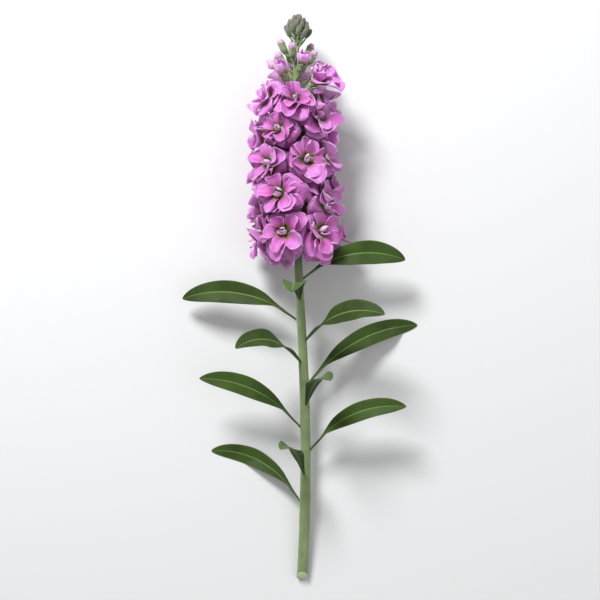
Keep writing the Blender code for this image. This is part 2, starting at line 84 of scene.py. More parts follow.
# Height above the cut end and azimuth of the florets on the side that lies uppermost
FACING = (
    (250 * MM, -22), (270 * MM, 64), (276 * MM, -28), (298 * MM, 22),
    (319 * MM, -31), (328 * MM, 54), (339 * MM, 2),
)
OTHER_AZIMUTHS = (100, 260)
GOLDEN_SHARE = 0.618
CROWD_REACH = 15 * MM
CROWD_STEP = 0.6 * MM
CROWD_ROUNDS = 400
CROWD_NEAREST = 3 * MM
FLORET_REACHES = (1.0, 0.86)
FLORET_TILT = (6, 30)
FLORET_SIZE = (1.0, 0.88)
FLORET_OPENING = (1.0, 0.82)
HEART = 0.22

# Florets and buds above the open ones
UPPER_FROM = 352 * MM
UPPER_TO = 381 * MM
UPPER_CROWDING = 0.8
UPPER_AZIMUTH = 50
UPPER_REACH = (15.5 * MM, 10.5 * MM)
UPPER_DRAWING_IN = 0.7
UPPER_TILT = (42, 66)
UPPER_SIZE = {"half_open": (1.0, 0.92), "opening": (0.6, 0.44), "pink": (0.36, 0.29)}
HALF_OPEN = 2
OPENING_BUDS = 4
PINK_BUDS = 7
BUD_LENGTH = 0.45
BUD_WIDTH = 0.42
CROWN_BUDS = 31
CROWN_RADIUS = 10.4 * MM
CROWN_ROOTS = (377 * MM, 394 * MM)
CROWN_TIPS = (392 * MM, 403.4 * MM)
CROWN_LENGTH = (7.6 * MM, 5.6 * MM)
CROWN_WIDTH = (4.0 * MM, 3.4 * MM)
CROWN_LEAN = 30
CROWN_STALK = 0.7 * MM
# Radius of the stem inside the crown, at its foot, middle and end
CROWN_STEM = (0.95 * TIP_RADIUS, 1.1 * TIP_RADIUS, 0.8 * TIP_RADIUS)
# Length and width of the rolled petals inside an opening bud of full size
OPENING_CORE = (16.0 * MM, 9.5 * MM)

# Stalks and calyxes
STALK_RADIUS = 0.9 * MM
STALK_DROP = 0.85
CALYX = {
    "open": (8.5 * MM, 2.2 * MM),
    "half_open": (8.5 * MM, 2.4 * MM),
    "opening": (6.0 * MM, 2.4 * MM),
    "pink": (6.2 * MM, 2.2 * MM),
}
# How far sepals spread at their tips, as a share of the calyx's radius, and how far they pass its mouth
SEPAL_SPREAD = {"open": 0.9, "half_open": 0.6, "opening": 0.35, "pink": 0.22}
SEPAL_TIPS = {"open": 1.6 * MM, "half_open": 2.2 * MM, "opening": 2.2 * MM, "pink": 2.6 * MM}
SEPAL_THICKNESS = 0.52 * MM

# How petals give way to their neighbours and to the table
SEAT_GAP = 0.3 * MM
# Share of the way to a wall where a petal starts to bend
SOFT = 0.72
# How firmly the florets underneath are flattened on the table
TABLE_PRESS = 1.1
# How far apart two blooms are at most that still press on each other
PRESS_REACH = 2.6 * FLORET_RADIUS
# How far short of the boundary between two blooms the wall of each is
WALL_GAP = 0.25 * (0.6 * MM)
WALL_SHARPNESS = 30
# How far the wall between two open florets leans, so that the petals of one hang over the other's
WALL_LEAN = (0.2, 0.42)
# How far past its heart an open floret reaches at most, away from the stem
OUTER_REACH = 17 * MM
# How much an open floret's petals rise where the head narrows, in its outer and its inner rings
CLOSING = (35, 55)

# Leaves
LEAVES = 11
LEAF_THICKNESS = 0.8 * MM
LEAF_HEIGHT = (58 * MM, 217 * MM)
LEAF_CROWDING = 0.9
LEAF_LENGTH = (78 * MM, 92 * MM)
LEAF_WIDTH = (13 * MM, 17 * MM)
LEAF_ANGLE = (30, 50)
LEAF_BOW = (48, 72)
LEAF_SAG = (8 * MM, 16 * MM)
LEAF_AZIMUTH = 15
LEAF_SPREAD = 112
LEAF_SHORTER = 0.24
LEAF_TURN = 0.85
LEAF_BROADEST = 0.6
LEAF_FOOT = 0.22
LEAF_TAPER = 2.4
LEAF_TURNED = 0.5
LEAF_FOLD = 0.24
LEAF_RIPPLE = 0.09
LEAF_WAVES = 9
# Share of a leaf's length that its foot runs on into the stem, how deep, and how narrow it gets there
LEAF_ROOT = 0.03
LEAF_SUNK = 0.9 * MM
LEAF_ROOT_WIDTH = 0.45
# Half the thickness of a blade here, without its rib, and how far its rib stands out below
LEAF_BLADE = 0.24 * MM
LEAF_RIB = 0.8 * MM

Bloom = namedtuple("Bloom", "name kind height azimuth reach tilt size opening")
# rise is a petal's slope, root and base the radius and height where it joins, and curl is how much of
# the length lost at a wall turns outward or, below 0, back
Ring = namedtuple("Ring", "petals length rise_root rise_tip root base cup roll curl")

# The rings of the CAD source, whose levels are 0 and 1 from the outermost in
RINGS = {
    "open": (
        Ring(5, 25.0, 30, -48, 1.7, 1.2, 0.0, 0.2, -0.35),
        Ring(5, 17.5, 48, 4, 1.6, 2.3, 0.04, 0.22, 0.4),
    ),
    "half_open": (
        Ring(5, 21.5, 60, 12, 1.9, 1.4, 0.1, 0.3, 0.4),
        Ring(4, 13.5, 80, 72, 1.7, 2.8, 0.14, 0.3, 0.4),
    ),
    "opening": (Ring(4, 19.0, 45, 115, 3.6, 2.0, 0.1, 0.3, 0.4),),
}
# The rings beneath, between and inside them that only show here, each after its level
INNER_RINGS = {
    "open": (
        (-0.5, Ring(5, 21.5, 10, -52, 1.7, 0.7, 0.0, 0.25, -0.35)),
        (0.55, Ring(5, 21.0, 40, -8, 1.7, 1.7, 0.05, 0.3, 0.15)),
        (2.0, Ring(3, 8.6, 58, 118, 1.5, 3.2, 0.3, 0.35, 0.4)),
        (2.6, Ring(3, 6.4, 80, 112, 0.7, 3.8, 0.3, 0.35, 0.4)),
    ),
    "half_open": (
        (0.5, Ring(4, 18.0, 68, 34, 1.9, 2.0, 0.16, 0.3, 0.4)),
        (1.8, Ring(4, 10.5, 84, 98, 1.2, 3.4, 0.2, 0.3, 0.4)),
    ),
    "opening": (),
}
# Height and radius of the middle that each bloom's petals stand on
MIDDLES = {
    "open": ((0, 1.5), (1.4, 1.3), (3.0, 1.2), (4.4, 0.9)),
    "half_open": ((0, 1.6), (1.4, 1.5), (2.8, 1.3), (4.4, 0.9)),
    "opening": ((0, 2.2), (2.0, 2.0), (4.0, 1.2), (5.0, 0.8)),
}

# How far petals of some levels reach, as a share of their room: above 1 they lap past its walls
EASE = {-0.5: (1.08, 1.2), 0: (0.98, 1.08), 0.55: (1.0, 1.12), 1: (0.98, 1.08)}
# How much petals differ in their slope at the root and at the tip, in degrees, in roll and in fold
WILD = (7, 20, 0.4, 0.22)
# The same for blooms still opening, for the added rings of open florets and for their cups
TAME = (3, 8, 0.05, 0.03)
LOOSE = (10, 30, 0.6, 0.4)
CUPPED = (8, 14, 0.3, 0.1)
# Range of a petal's length about its ring's, and the notches that its tip may have
PETAL_LENGTHS = (0.9, 1.08)
PETAL_NOTCHES = (0.0, 0.04, 0.08)
PETAL_THICKNESS = 0.3 * MM
# Where its claw ends, where it is broadest, how much of that is left at its tip, and how round that is
PETAL_CLAW = 0.42
PETAL_BROADEST = 0.6
PETAL_TIP = 0.70
PETAL_ROUNDING = 0.34
# Where its fold is full, and how deep its waves are as a share of its length
PETAL_FOLDED = 0.4
PETAL_RIPPLE = 0.095

# How much paler the highest open florets are painted than the lowest: painted light from above
PAINTED_LIGHT_ABOVE = 0.2

# Seeds of the random draws, to which the number of the bloom, bud or leaf is added
FLORET_SEED = 100
LEAF_SEED = 500
RING_SEED = 900
BUD_SEED = 1300
CALYX_SEED = 1700
CROWN_SEED = 2100
WALL_SEED = 5000

PETAL_ROWS = 15
PETAL_COLUMNS = 13


def smooth(t):
    t = min(max(t, 0.0), 1.0)
    return t * t * (3 - 2 * t)


def smooth_all(t):
    t = np.clip(t, 0.0, 1.0)
    return t * t * (3 - 2 * t)


def mix(a, b, t):
    return a + (b - a) * t


def shares(rows, columns):
    """Each point's place along a blade, from 0 to 1, and across it, from -1 to 1."""
    return np.meshgrid(np.linspace(0, 1, rows), np.linspace(-1, 1, columns), indexing="ij")


# The stem's centre line and the places of the blooms, as in the CAD source


def axis_point(y):
    """A point of the stem's centre line, at a height above the cut end."""
    rise = HEAD_HEIGHT - CUT_RADIUS
    slope = rise / (0.5 * (BEND_STARTS + BEND_ENDS))
    past = min(max(y - BEND_STARTS, 0.0), BEND_ENDS - BEND_STARTS)
    level = min(y, BEND_ENDS)
    z = CUT_RADIUS + slope * level - slope * past * past / (2 * (BEND_ENDS - BEND_STARTS))
    x = SWAY * sin(2 * pi * y / STEM_LENGTH) - SWAY * y / STEM_LENGTH
    return Vector((x - ORIGIN_X, y - ORIGIN_Y, z))


def stem_frame(y):
    """Directions along the stem, across it and upward."""
    step = 0.5 * MM
    along = (axis_point(y + step) - axis_point(y - step)).normalized()
    side = (Vector((1, 0, 0)) - along * along.x).normalized()
    return along, side, side.cross(along)


def outward(y, azimuth):
    along, side, up = stem_frame(y)
    return up * cos(radians(azimuth)) + side * sin(radians(azimuth))


def stem_radius(y):
    return mix(CUT_RADIUS, TIP_RADIUS, (y / STEM_LENGTH) ** STEM_TAPER)


def floret_places():
    """Height and azimuth of each open floret: the uppermost stay put, the rest crowd evenly round."""
    free = FLORETS - len(FACING)
    places = [[height, radians(azimuth)] for height, azimuth in FACING]
    for k in range(free):
        height = mix(HEAD_BOTTOM, HEAD_TOP, (k + 0.5) / free)
        places.append([height, radians(mix(*OTHER_AZIMUTHS, (k * GOLDEN_SHARE) % 1.0))])
    for _ in range(CROWD_ROUNDS):
        pushes = []
        for i in range(len(FACING), FLORETS):
            push_y = push_a = 0.0
            for j in range(FLORETS):
                if i == j:
                    continue
                apart_y = places[i][0] - places[j][0]
                turn = (places[i][1] - places[j][1] + pi) % (2 * pi) - pi
                apart_a = turn * FLORET_REACH
                near = max((apart_y**2 + apart_a**2) ** 0.5, CROWD_NEAREST)
                weight = exp(-0.5 * (near / CROWD_REACH) ** 2) / near
                push_y += apart_y * weight
                push_a += apart_a * weight
            pushes.append((push_y, push_a))
        for i, (push_y, push_a) in enumerate(pushes, len(FACING)):
            height = places[i][0] + CROWD_STEP * push_y
            places[i][0] = min(max(height, HEAD_BOTTOM), HEAD_TOP)
            places[i][1] += CROWD_STEP * push_a / FLORET_REACH
    return sorted((height, azimuth * 180 / pi) for height, azimuth in places)


def open_florets():
    blooms = []
    for number, (height, azimuth) in enumerate(floret_places(), 1):
        up = (height - HEAD_BOTTOM) / (HEAD_TOP - HEAD_BOTTOM)
        reach = FLORET_REACH * mix(*FLORET_REACHES, up * up)
        shape = [mix(*ends, up * up) for ends in (FLORET_TILT, FLORET_SIZE, FLORET_OPENING)]
        blooms.append(Bloom(f"floret_{number:02d}", "open", height, azimuth, reach, *shape))
    return blooms


def upper_blooms():
    """The half-open florets, opening buds and pink-tipped buds, closer together toward the tip."""
    kinds = ["half_open"] * HALF_OPEN + ["opening"] * OPENING_BUDS + ["pink"] * PINK_BUDS
    names = {"half_open": "half_open_floret", "opening": "opening_bud", "pink": "pink_bud"}
    counts = dict.fromkeys(names, 0)
    blooms = []
    for k, kind in enumerate(kinds):
        counts[kind] += 1
        up = k / (len(kinds) - 1)
        name = f"{names[kind]}_{counts[kind]}"
        height = mix(UPPER_FROM, UPPER_TO, up**UPPER_CROWDING)
        azimuth = UPPER_AZIMUTH + k * GOLDEN_ANGLE
        reach = mix(*UPPER_REACH, up**UPPER_DRAWING_IN)
        tilt, size = mix(*UPPER_TILT, up), mix(*UPPER_SIZE[kind], up)
        blooms.append(Bloom(name, kind, height, azimuth, reach, tilt, size, 0))
    return blooms


def bloom_frame(bloom):
    """The calyx mouth, the direction that the bloom faces, and two directions across it."""
    along, _, _ = stem_frame(bloom.height)
    out = outward(bloom.height, bloom.azimuth)
    face = out * cos(radians(bloom.tilt)) + along * sin(radians(bloom.tilt))
    mouth = axis_point(bloom.height) + out * bloom.reach
    first = (along - face * along.dot(face)).normalized()
    return mouth, face, first, face.cross(first)


def heart_of(bloom):
    mouth, face, _, _ = bloom_frame(bloom)
    return mouth + face * FLORET_RADIUS * HEART * bloom.size


def wall_lean(index, other):
    """How far the wall between two open florets leans, the opposite way as seen from the other one."""
    draw = random.Random(WALL_SEED + 100 * min(index, other) + max(index, other))
    lean = draw.choice((-1, 1)) * draw.uniform(*WALL_LEAN)
    return lean if index < other else -lean


class Room:
    """The space that a bloom's petals keep within, and how they give way at its walls."""

    def __init__(self, index, blooms):
        heart = heart_of(blooms[index])
        face = bloom_frame(blooms[index])[1]
        away = [(0.0, 0.0, -1.0)]
        room = [TABLE_PRESS * heart.z]
        opened = blooms[index].kind == "open"
        if opened:
            away.append(tuple(face))
            room.append(OUTER_REACH * blooms[index].size)
        for other, bloom in enumerate(blooms):
            apart = heart_of(bloom) - heart
            if other != index and apart.length < PRESS_REACH:
                share = blooms[index].size / (blooms[index].size + bloom.size)
                toward = apart.normalized()
                lean = wall_lean(index, other) if opened and bloom.kind == "open" else 0
                outer = (face + bloom_frame(bloom)[1]).normalized()
                leaning = (toward + (outer - toward * outer.dot(toward)) * lean).normalized()
                away.append(tuple(leaning))
                room.append((apart.length * share - WALL_GAP) * toward.dot(leaning))
        self.heart = np.array(heart)
        self.away = np.array(away)
        self.room = np.array(room)
        self.face = np.array(face)

    def drawn_in(self, points, ease):
        """Points drawn toward the heart along their own rays, so that they stay inside the walls."""
        ray = points - self.heart
        straight_down = self.away[:, 2] < -0.999
        room = self.room * np.where(straight_down, 1.0, ease)
        crossings = np.maximum(ray @ self.away.T / room, 0.0)
        crossing = (crossings**WALL_SHARPNESS).sum(-1) ** (1 / WALL_SHARPNESS)
        crossing = np.maximum(crossing, 1e-6)
        held = SOFT + (1 - SOFT) * (1 - np.exp(-(crossing - SOFT) / (1 - SOFT)))
        held = np.where(crossing <= SOFT, crossing, held)
        return self.heart + ray * (held / crossing)[..., None]

    def squeezed(self, points, curl, ease):
        """Points kept in the room and above the table; the length that they lose there curls over."""
        pressed = self.drawn_in(points, ease)
        lost = np.linalg.norm(points - pressed, axis=-1)
        held = self.drawn_in(pressed + self.face * (curl * lost)[..., None], ease)
        held[..., 2] = np.maximum(held[..., 2], TABLE_GAP)
        return held


# Meshes: a piece is built from sheets, grids of points with two faces and a rim, and from lofts


def linked(name, data):
    made = bpy.data.objects.new(name, data)
    bpy.context.scene.collection.objects.link(made)
    return made


class Piece:
    """Gathers sheets and lofts, then makes one mesh object of them."""

    def __init__(self, name, materials):
        self.name = name
        self.materials = materials
        self.points = []
        self.faces = []
        self.slots = []
        self.corner_uv = []
        self.marks = {"tone": [], "heart": []}
        self.count = 0

    def add(self, points, faces, slots, uv, tone, heart):
        """Faces over points; uv has a pair for each point."""
        self.points.append(points)
        self.faces.append(faces + self.count)
        self.slots.append(slots)
        self.corner_uv.append(uv[faces])
        self.marks["tone"].append(np.full(len(points), tone))
        self.marks["heart"].append(np.full(len(points), heart))
        self.count += len(points)

    def sheet(self, grid, above, below, tone, heart, front=0, back=1):
        """A grid of points (rows, columns, 3), thickened by above and below its middle."""
        rows, columns, _ = grid.shape
        down = np.gradient(grid, axis=0)
        over = np.gradient(grid, axis=1)
        normal = np.cross(down, over)
        length = np.linalg.norm(normal, axis=-1, keepdims=True)
        normal = normal / np.maximum(length, 1e-12)
        top = grid + normal * above[..., None]
        low = grid - normal * below[..., None]
        number = np.arange(rows * columns).reshape(rows, columns)
        a, b = number[:-1, :-1], number[:-1, 1:]
        c, d = number[1:, 1:], number[1:, :-1]
        upper = np.stack([a, d, c, b], axis=-1).reshape(-1, 4)
        under = np.stack([a, b, c, d], axis=-1).reshape(-1, 4) + rows * columns
        edge = np.concatenate([number[0, :-1], number[:-1, -1], number[-1, :0:-1], number[:0:-1, 0]])
        onward = np.roll(edge, -1)
        rim = np.stack([edge, onward, onward + rows * columns, edge + rows * columns], axis=-1)
        s, t = np.meshgrid(np.linspace(0, 1, rows), np.linspace(0, 1, columns), indexing="ij")
        uv = np.stack([t, s], axis=-1).reshape(-1, 2)
        slots = np.concatenate(
            [np.full(len(upper), front), np.full(len(under), back), np.full(len(rim), back)]
        )
        self.add(
            np.concatenate([top.reshape(-1, 3), low.reshape(-1, 3)]),
            np.concatenate([upper, under, rim]),
            slots,
            np.concatenate([uv, uv]),
            tone,
            heart,
        )

    def loft(self, rings, tone, heart=0.0, slot=0, end_slot=None):
        """A closed skin over rings of points (rings, sides, 3), with a flat cap at each end."""
        count, sides, _ = rings.shape
        number = np.arange(count * sides).reshape(count, sides)
        onward = np.roll(number, -1, axis=1)
        wall = np.stack([number[:-1], onward[:-1], onward[1:], number[1:]], axis=-1).reshape(-1, 4)
        ends = np.array([count * sides, count * sides + 1])
        first, last = number[0], number[-1]
        low = np.stack([np.roll(first, -1), first, np.full(sides, ends[0])], axis=-1)
        high = np.stack([last, np.roll(last, -1), np.full(sides, ends[1])], axis=-1)
        caps = np.concatenate([low, high])
        caps = np.concatenate([caps, caps[:, 2:]], axis=1)
        along, round_ = np.meshgrid(np.linspace(0, 1, count), np.arange(sides) / sides, indexing="ij")
        uv = np.stack([round_, along], axis=-1).reshape(-1, 2)
        uv = np.concatenate([uv, [[0.5, 0.0], [0.5, 1.0]]])
        centres = np.stack([rings[0].mean(0), rings[-1].mean(0)])
        slots = np.concatenate(
            [np.full(len(wall), slot), np.full(len(caps), slot if end_slot is None else end_slot)]
        )
        points = np.concatenate([rings.reshape(-1, 3), centres])
        self.add(points, np.concatenate([wall, caps]), slots, uv, tone, heart)

    def made(self, replaces, slot):
        """The finished mesh object, riding on the part's one body."""
        faces = np.concatenate(self.faces)
        corners = [tuple(dict.fromkeys(face)) for face in faces.tolist()]
        points = np.concatenate(self.points)
        points[:, 2] = np.maximum(points[:, 2], 0.0)
        mesh = bpy.data.meshes.new(self.name)
        mesh.from_pydata(points.tolist(), [], corners)
        for material in self.materials:
            mesh.materials.append(material)
        mesh.polygons.foreach_set("material_index", np.concatenate(self.slots).astype(np.int32))
        uv = np.concatenate(self.corner_uv)
        flat = [uv[i, j] for i, corner in enumerate(corners) for j in range(len(corner))]
        layer = mesh.uv_layers.new(name="Blade")
        layer.data.foreach_set("uv", np.array(flat, dtype=np.float32).ravel())
        for name, values in self.marks.items():
            attribute = mesh.attributes.new(name, "FLOAT", "POINT")
            attribute.data.foreach_set("value", np.concatenate(values).astype(np.float32))
        mesh.shade_smooth()
        made = linked(self.name, mesh)
        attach(made, "root")
        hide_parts(*replaces)
        return made


def tube_rings(points, radii, sides, ridge=None):
    """Rings of points square to a line of points."""
    points = np.array([tuple(point) for point in points])
    along = np.gradient(points, axis=0)
    along /= np.linalg.norm(along, axis=1, keepdims=True)
    across = np.cross(along, (0.31, 0.11, 0.94))
    across /= np.linalg.norm(across, axis=1, keepdims=True)
    other = np.cross(along, across)
    turn = np.arange(sides) * 2 * pi / sides
    radii = np.asarray(radii, dtype=float)[:, None]
    if ridge is not None:
        radii = radii * ridge(turn[None, :], np.linspace(0, 1, len(points))[:, None])
    out = across[:, None, :] * np.cos(turn)[None, :, None] + other[:, None, :] * np.sin(turn)[None, :, None]
    return points[:, None, :] + out * radii[..., None]


def axes_round(axis):
    """An axis and two directions square to it, as arrays."""
    axis = Vector(axis)
    across = np.array(axis.orthogonal().normalized())
    axis = np.array(axis)
    return axis, across, np.cross(axis, across)


def points_round(base, axes, high, around, radius):
    """Points at heights along an axis, at angles round it and at distances from it."""
    axis, across, other = axes
    out = across * np.cos(around)[..., None] + other * np.sin(around)[..., None]
    return base + axis * high[..., None] + out * radius[..., None]


# Materials


class Finish:
    """A node material: add() makes a node and links or sets its inputs."""

    def __init__(self, name, **shader):
        self.material = bpy.data.materials.new(name)
        self.material.use_nodes = True
        self.tree = self.material.node_tree
        self.shader = self.tree.nodes["Principled BSDF"]
        self.set(self.shader, {key.replace("_", " "): value for key, value in shader.items()})

    def set(self, node, values):
        """Link each value that is a socket, and set the others."""
        for key, value in values.items():
            socket = node.inputs[key]
            if isinstance(value, bpy.types.NodeSocket):
                self.tree.links.new(value, socket)
            else:
                socket.default_value = value

    def add(self, kind, values=None, **properties):
        node = self.tree.nodes.new("ShaderNode" + kind)
        for key, value in properties.items():
            setattr(node, key, value)
        self.set(node, values or {})
        return node

    def math(self, operation, *values):
        node = self.tree.nodes.new("ShaderNodeMath")
        node.operation = operation
        self.set(node, dict(enumerate(values)))
        return node.outputs[0]

    def times(self, *values):
        """One value times another, plus a third where there is one."""
        return self.math("MULTIPLY_ADD" if len(values) == 3 else "MULTIPLY", *values)

    def ramp(self, value, low, high):
        """0 below low and 1 above high, with a smooth step between; low may be above high."""
        values = {"Value": value, "From Min": low, "From Max": high}
        return self.add("MapRange", values, interpolation_type="SMOOTHSTEP").outputs[0]

    def blend(self, share, one, other):
        """One colour where share is 0 and the other where it is 1."""
        node = self.add("Mix", data_type="RGBA")
        self.set(node, {0: share, 6: one, 7: other})
        return node.outputs[2]

    def noise(self, vector, scale, detail, rough=0.5):
        values = {"Vector": vector, "Scale": scale, "Detail": detail, "Roughness": rough}
        return self.add("TexNoise", values).outputs[0]

    def blade(self):
        """How far across a blade, from -1 to 1, and how far along it, from 0 to 1."""
        uv = self.add("UVMap", uv_map="Blade").outputs[0]
        parts = self.add("SeparateXYZ", {0: uv})
        across = self.times(parts.outputs[0], 2.0, -1.0)
        return across, parts.outputs[1]

    def mark(self, name):
        return self.add("Attribute", attribute_name=name, attribute_type="GEOMETRY").outputs["Fac"]

    def bump(self, height, distance, strength):
        node = self.add("Bump", {"Height": height, "Distance": distance, "Strength": strength})
        self.set(self.shader, {"Normal": node.outputs[0]})

    def finish(self, colour, roughness=None):
        self.set(self.shader, {"Base Color": colour})
        if roughness is not None:
            self.set(self.shader, {"Roughness": roughness})
        return self.material


def petal_finish(name, deep, pale, rim, claw, inner, lift):
    """Petals: streaked along their length, deeper toward the root as painted shade, with a painted
    highlight along the rim, greenish at the claw, paler at the heart.
    """
    made = Finish(
        name,
        Roughness=0.5,
        Subsurface_Weight=0.4,
        Subsurface_Radius=(1.0, 0.3, 0.75),
        Subsurface_Scale=0.0018,
        Sheen_Weight=0.3,
        Sheen_Roughness=0.35,
        Sheen_Tint=(0.96, 0.9, 1.0, 1),
        Specular_IOR_Level=0.4,
    )
    across, along = made.blade()
    tone = made.mark("tone")
    heart = made.mark("heart")
    place = made.add("CombineXYZ", {0: across, 1: made.times(along, 0.22), 2: tone}).outputs[0]
    fine = made.noise(place, 15.0, 3.0, 0.55)
    broad = made.noise(place, 3.2, 1.0)
    position = made.add("TexCoord").outputs["Object"]
    cloud = made.noise(position, 130.0, 2.0)
    share = made.times(tone, 0.45, lift)
    share = made.times(made.ramp(fine, 0.36, 0.66), 0.16, share)
    share = made.times(broad, 0.3, share)
    share = made.times(cloud, 0.3, share)
    # Painted shade: each petal turns to the deep colour toward its root, where the petals shade each other.
    share = made.times(made.ramp(along, 0.12, 0.7), 0.5, share)
    share = made.math("SUBTRACT", share, 0.5)
    colour = made.blend(made.ramp(share, 0.0, 1.0), deep, pale)
    colour = made.blend(made.times(made.ramp(heart, 0.3, 1.0), 0.8), colour, inner)
    # Painted highlight: a paler band along each petal's side edges and tip, blended toward the rim colour.
    side = made.math("ABSOLUTE", across)
    edge = made.math("MAXIMUM", made.ramp(side, 0.86, 0.99), made.ramp(along, 0.93, 0.995))
    colour = made.blend(made.times(edge, 0.36), colour, rim)
    colour = made.blend(made.ramp(along, 0.44, 0.22), colour, claw)
    made.bump(made.times(cloud, 0.5, fine), 0.00035, 0.6)
    return made.finish(colour, made.times(fine, 0.2, 0.42))


def leaf_finish(name, deep, fresh, rib):
    """Leaves: a pale rib, faint side veins, a grey bloom of fine down."""
    made = Finish(
        name,
        Roughness=0.55,
        Subsurface_Weight=0.1,
        Subsurface_Radius=(0.5, 1.0, 0.25),
        Subsurface_Scale=0.001,
        Sheen_Weight=0.05,
        Sheen_Roughness=0.5,
        Sheen_Tint=(0.9, 1.0, 0.85, 1),
        Specular_IOR_Level=0.15,
    )
    across, along = made.blade()
    tone = made.mark("tone")
    side = made.math("ABSOLUTE", across)
    position = made.add("TexCoord").outputs["Object"]
    cloud = made.noise(position, 60.0, 3.0)
    speck = made.noise(position, 900.0, 2.0)
    wander = made.times(cloud, 0.5, made.times(side, -2.1, along))
    vein = made.math("PINGPONG", made.times(wander, 7.0), 0.5)
    vein = made.times(made.ramp(vein, 0.07, 0.0), made.ramp(side, 1.0, 0.5))
    share = made.times(tone, 0.5, made.times(cloud, 1.2, -0.4))
    colour = made.blend(made.ramp(share, 0.0, 1.0), deep, fresh)
    colour = made.blend(made.times(vein, 0.35), colour, rib)
    middle = made.ramp(side, made.times(along, -0.07, 0.12), 0.02)
    colour = made.blend(made.times(middle, 0.85), colour, rib)
    colour = made.blend(made.times(made.ramp(side, 0.93, 1.0), 0.4), colour, rib)
    colour = made.blend(made.times(speck, 0.02), colour, (0.62, 0.7, 0.55, 1))
    relief = made.times(vein, -0.6, made.times(speck, 0.25))
    made.bump(relief, 0.0004, 0.7)
    return made.finish(colour, made.times(speck, 0.2, 0.45))


def green_finish(name, deep, fresh, tip, tip_from, streaks):
    """Stems, calyxes and green buds: streaked along their length, downy, flushed at the tip."""
    made = Finish(
        name,
        Roughness=0.6,
        Subsurface_Weight=0.12,
        Subsurface_Radius=(0.5, 1.0, 0.3),
        Subsurface_Scale=0.001,
        Sheen_Weight=0.45,
        Sheen_Roughness=0.5,
        Sheen_Tint=(0.92, 1.0, 0.9, 1),
        Specular_IOR_Level=0.3,
    )
    across, along = made.blade()
    tone = made.mark("tone")
    position = made.add("TexCoord").outputs["Object"]
    place = made.add("CombineXYZ", {0: across, 1: made.times(along, 0.15), 2: tone}).outputs[0]
    fine = made.noise(place, streaks, 3.0)
    cloud = made.noise(position, 90.0, 3.0)
    speck = made.noise(position, 1400.0, 2.0)
    share = made.times(tone, 0.5, made.times(cloud, 0.9, -0.55))
    share = made.times(fine, 0.7, share)
    colour = made.blend(made.ramp(share, 0.0, 1.0), deep, fresh)
    flush = made.times(made.ramp(along, tip_from, 1.0), made.ramp(tone, 0.1, 0.7))
    colour = made.blend(flush, colour, tip)
    colour = made.blend(made.times(speck, 0.16), colour, (0.7, 0.76, 0.62, 1))
    made.bump(made.times(speck, 0.4, fine), 0.0003, 0.7)
    return made.finish(colour, made.times(speck, 0.25, 0.5))


# Each rim colour is a painted highlight along the petal edges; the deep colour is the petals' own darker
# tone and, toward the root, painted shade.
PETAL_FRONT = petal_finish(
    "petal_front",
    deep=(0.43, 0.042, 0.28, 1),
    pale=(0.56, 0.225, 0.56, 1),
    rim=(0.78, 0.54, 0.80, 1),
    claw=(0.13, 0.125, 0.02, 1),
    inner=(0.64, 0.32, 0.60, 1),
    lift=0.0,
)
PETAL_BACK = petal_finish(
    "petal_back",
    deep=(0.46, 0.07, 0.33, 1),
    pale=(0.68, 0.38, 0.69, 1),
    rim=(0.86, 0.62, 0.84, 1),
    claw=(0.30, 0.32, 0.07, 1),
    inner=(0.73, 0.49, 0.70, 1),
    lift=0.1,
)
# The deep and the fresh colour, then that of the ribs
LEAF_TOP = leaf_finish(
    "leaf_top", (0.015, 0.030, 0.003, 1), (0.042, 0.084, 0.008, 1), (0.15, 0.24, 0.06, 1)
)
LEAF_UNDER = leaf_finish(
    "leaf_under", (0.045, 0.08, 0.022, 1), (0.095, 0.155, 0.045, 1), (0.21, 0.30, 0.11, 1)
)
# The deep and the fresh colour, that of the tip and where it starts, and how fine the streaks are
STEM_SKIN = green_finish(
    "stem_skin", (0.06, 0.105, 0.024, 1), (0.18, 0.255, 0.075, 1), (0.24, 0.32, 0.10, 1), 0.97, 40.0
)
PITH = green_finish(
    "pith", (0.50, 0.56, 0.30, 1), (0.66, 0.70, 0.44, 1), (0.6, 0.66, 0.4, 1), 0.97, 20.0
)
SEPAL = green_finish(
    "sepal", (0.07, 0.125, 0.035, 1), (0.22, 0.29, 0.10, 1), (0.40, 0.30, 0.27, 1), 0.78, 12.0
)
GREEN_BUD = green_finish(
    "green_bud", (0.022, 0.042, 0.017, 1), (0.115, 0.16, 0.075, 1), (0.12, 0.022, 0.065, 1), 0.6, 9.0
)


# Petals


def petals_of(bloom, level, ring, draw, wild):
    """What sets each petal of a ring apart from the others."""
    shut = (1 - bloom.opening) * mix(*CLOSING, min(max(level, 0), 1)) if bloom.kind == "open" else 0
    return [
        {
            "size": bloom.size,
            "length": ring.length * bloom.size * MM * draw.uniform(*PETAL_LENGTHS),
            "rise_root": ring.rise_root + shut + wild[0] * draw.uniform(-1, 1),
            "rise_tip": ring.rise_tip + shut + wild[1] * draw.uniform(-1, 1),
            "roll": ring.roll + wild[2] * draw.uniform(-1, 1),
            "fold": wild[3] * draw.uniform(0, 1),
            "notch": draw.choice(PETAL_NOTCHES),
        }
        for _ in range(ring.petals)
    ]


